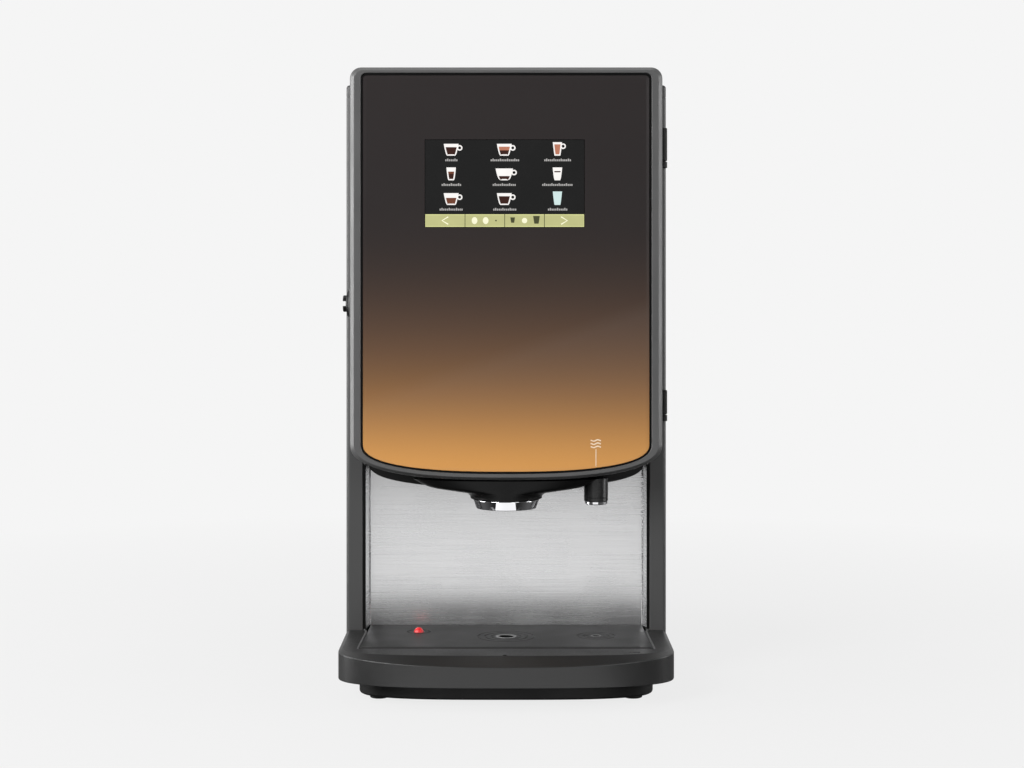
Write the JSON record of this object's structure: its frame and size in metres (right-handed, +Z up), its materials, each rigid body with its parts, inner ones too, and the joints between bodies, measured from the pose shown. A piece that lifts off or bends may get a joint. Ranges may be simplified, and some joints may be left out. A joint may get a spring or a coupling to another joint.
{
  "type": "hot drinks vending machine",
  "caption": "Tabletop hot drinks vending machine: hinged fascia door with touch display above a serving niche with spout, water tap and pull-out drip tray; powder canisters and mixers inside.",
  "frame": {"origin": "centre of the footprint of the overall box, at the underside of the feet", "axes": "+X to the customer's right, +Y from the front to the rear, +Z up; the door and the niche face -Y"},
  "size_m": [0.322, 0.495, 0.604],
  "materials": {
    "cabinet_paint": "fine-textured satin charcoal",
    "base_plastic": "matt black",
    "foot_rubber": "matt",
    "splash_steel": "brushed upright",
    "chassis_zinc": "galvanised sheet",
    "head_plastic": "satin black",
    "chrome_trim": "polished",
    "tray_plastic": "fine-textured dark grey",
    "grille_paint": "satin dark grey",
    "float_plastic": "satin red",
    "fascia_plastic": "satin charcoal",
    "panel_print": "printed from charcoal at the top to caramel at the bottom",
    "display_glass": "glossy dark touch glass",
    "liner_zinc": "galvanised sheet",
    "lock_metal": "black plated",
    "hinge_metal": "black",
    "canister_plastic": "clear",
    "lid_plastic": "matt black",
    "auger_plastic": "natural",
    "outlet_plastic": "matt red",
    "motor_metal": "zinc plated",
    "bowl_plastic": "natural",
    "hose_silicone": "milky silicone",
    "boiler_steel": "satin stainless",
    "valve_plastic": "matt light grey",
    "board_laminate": "green laminate",
    "inlet_plastic": "matt black",
    "rocker_plastic": "glossy red",
    "fan_plastic": "matt black"
  },
  "bodies": {
    "cabinet": {"left_side_panel": "cabinet_paint", "right_side_panel": "cabinet_paint", "top_cover": "cabinet_paint", "rear_panel": "cabinet_paint", "base_pan": "base_plastic", "splash_plate": "splash_steel", "inner_frame": "chassis_zinc", "foot_front_left": "foot_rubber", "foot_front_right": "foot_rubber", "foot_rear_left": "foot_rubber", "foot_rear_right": "foot_rubber", "dispense_head": "head_plastic", "spout_ring": "chrome_trim", "hot_water_outlet": "head_plastic", "hot_water_ring": "chrome_trim", "upper_hinge": "hinge_metal", "lower_hinge": "hinge_metal", "boiler_tank": "boiler_steel", "boiler_heater": "boiler_steel", "inlet_valve": "valve_plastic", "control_board": "board_laminate", "power_inlet": "inlet_plastic", "fan_housing": "fan_plastic", "canister_motor_1": "motor_metal", "canister_motor_2": "motor_metal", "canister_motor_3": "motor_metal", "mixer_motor_1": "motor_metal", "mixer_motor_2": "motor_metal", "mixer_motor_3": "motor_metal", "mixer_bowl_1": "bowl_plastic", "mixer_bowl_2": "bowl_plastic", "mixer_bowl_3": "bowl_plastic", "drink_hose_1": "hose_silicone", "drink_hose_2": "hose_silicone", "drink_hose_3": "hose_silicone"},
    "door": {"door_frame": "fascia_plastic", "front_panel": "panel_print", "touch_display": "display_glass", "door_liner": "liner_zinc"},
    "door_lock": {"lock_barrel": "lock_metal"},
    "tray": {"drip_tray": "tray_plastic"},
    "cup_plate": {"drip_grille": "grille_paint"},
    "full_tray_marker": {"tray_float": "float_plastic"},
    "canister_1": {"canister_body_1": "canister_plastic"},
    "lid_1": {"canister_lid_1": "lid_plastic"},
    "outlet_1": {"canister_outlet_1": "outlet_plastic"},
    "dosing_screw_1": {"auger_1": "auger_plastic"},
    "whipper_1": {"impeller_1": "auger_plastic"},
    "canister_2": {"canister_body_2": "canister_plastic"},
    "lid_2": {"canister_lid_2": "lid_plastic"},
    "outlet_2": {"canister_outlet_2": "outlet_plastic"},
    "dosing_screw_2": {"auger_2": "auger_plastic"},
    "whipper_2": {"impeller_2": "auger_plastic"},
    "canister_3": {"canister_body_3": "canister_plastic"},
    "lid_3": {"canister_lid_3": "lid_plastic"},
    "outlet_3": {"canister_outlet_3": "outlet_plastic"},
    "dosing_screw_3": {"auger_3": "auger_plastic"},
    "whipper_3": {"impeller_3": "auger_plastic"},
    "fan": {"fan_rotor": "fan_plastic"},
    "mains_rocker": {"power_switch": "rocker_plastic"}
  },
  "joints": [
    {"name": "door_hinge", "type": "hinge", "parent": "cabinet", "child": "door", "pos_m": [0.157, -0.09575, 0.4], "axis": [0, 0, 1], "range_deg": [0, 105]},
    {"name": "lock_turn", "type": "hinge", "parent": "door", "child": "door_lock", "pos_m": [-0.15, -0.118, 0.3748], "axis": [1, 0, 0], "range_deg": [0, 90]},
    {"name": "tray_slide", "type": "slide", "parent": "cabinet", "child": "tray", "axis": [0, -1, 0], "range_m": [0, 0.15]},
    {"name": "plate_lift", "type": "slide", "parent": "tray", "child": "cup_plate", "axis": [0, 0, 1], "range_m": [0, 0.03]},
    {"name": "marker_rise", "type": "slide", "parent": "tray", "child": "full_tray_marker", "axis": [0, 0, 1], "range_m": [0, 0.006]},
    {"name": "canister_pull_1", "type": "slide", "parent": "cabinet", "child": "canister_1", "axis": [0, -1, 0], "range_m": [0, 0.012]},
    {"name": "lid_lift_1", "type": "slide", "parent": "canister_1", "child": "lid_1", "axis": [0, 0, 1], "range_m": [0, 0.016]},
    {"name": "outlet_turn_1", "type": "hinge", "parent": "canister_1", "child": "outlet_1", "pos_m": [-0.102, -0.064, 0.418], "axis": [0, 1, 0], "range_deg": [0, 180]},
    {"name": "screw_spin_1", "type": "hinge", "parent": "canister_1", "child": "dosing_screw_1", "pos_m": [-0.102, 0, 0.418], "axis": [0, 1, 0], "continuous": true},
    {"name": "whipper_spin_1", "type": "hinge", "parent": "cabinet", "child": "whipper_1", "pos_m": [-0.102, -0.06, 0.325], "axis": [0, 1, 0], "continuous": true},
    {"name": "canister_pull_2", "type": "slide", "parent": "cabinet", "child": "canister_2", "axis": [0, -1, 0], "range_m": [0, 0.012]},
    {"name": "lid_lift_2", "type": "slide", "parent": "canister_2", "child": "lid_2", "axis": [0, 0, 1], "range_m": [0, 0.016]},
    {"name": "outlet_turn_2", "type": "hinge", "parent": "canister_2", "child": "outlet_2", "pos_m": [0, -0.064, 0.418], "axis": [0, 1, 0], "range_deg": [0, 180]},
    {"name": "screw_spin_2", "type": "hinge", "parent": "canister_2", "child": "dosing_screw_2", "pos_m": [0, 0, 0.418], "axis": [0, 1, 0], "continuous": true},
    {"name": "whipper_spin_2", "type": "hinge", "parent": "cabinet", "child": "whipper_2", "pos_m": [0, -0.06, 0.325], "axis": [0, 1, 0], "continuous": true},
    {"name": "canister_pull_3", "type": "slide", "parent": "cabinet", "child": "canister_3", "axis": [0, -1, 0], "range_m": [0, 0.012]},
    {"name": "lid_lift_3", "type": "slide", "parent": "canister_3", "child": "lid_3", "axis": [0, 0, 1], "range_m": [0, 0.016]},
    {"name": "outlet_turn_3", "type": "hinge", "parent": "canister_3", "child": "outlet_3", "pos_m": [0.102, -0.064, 0.418], "axis": [0, 1, 0], "range_deg": [0, 180]},
    {"name": "screw_spin_3", "type": "hinge", "parent": "canister_3", "child": "dosing_screw_3", "pos_m": [0.102, 0, 0.418], "axis": [0, 1, 0], "continuous": true},
    {"name": "whipper_spin_3", "type": "hinge", "parent": "cabinet", "child": "whipper_3", "pos_m": [0.102, -0.06, 0.325], "axis": [0, 1, 0], "continuous": true},
    {"name": "fan_spin", "type": "hinge", "parent": "cabinet", "child": "fan", "pos_m": [0.075, 0.23, 0.3], "axis": [0, 1, 0], "continuous": true},
    {"name": "rocker_tilt", "type": "hinge", "parent": "cabinet", "child": "mains_rocker", "pos_m": [-0.095, 0.242, 0.0898], "axis": [1, 0, 0], "range_deg": [0, 14]}
  ]
}
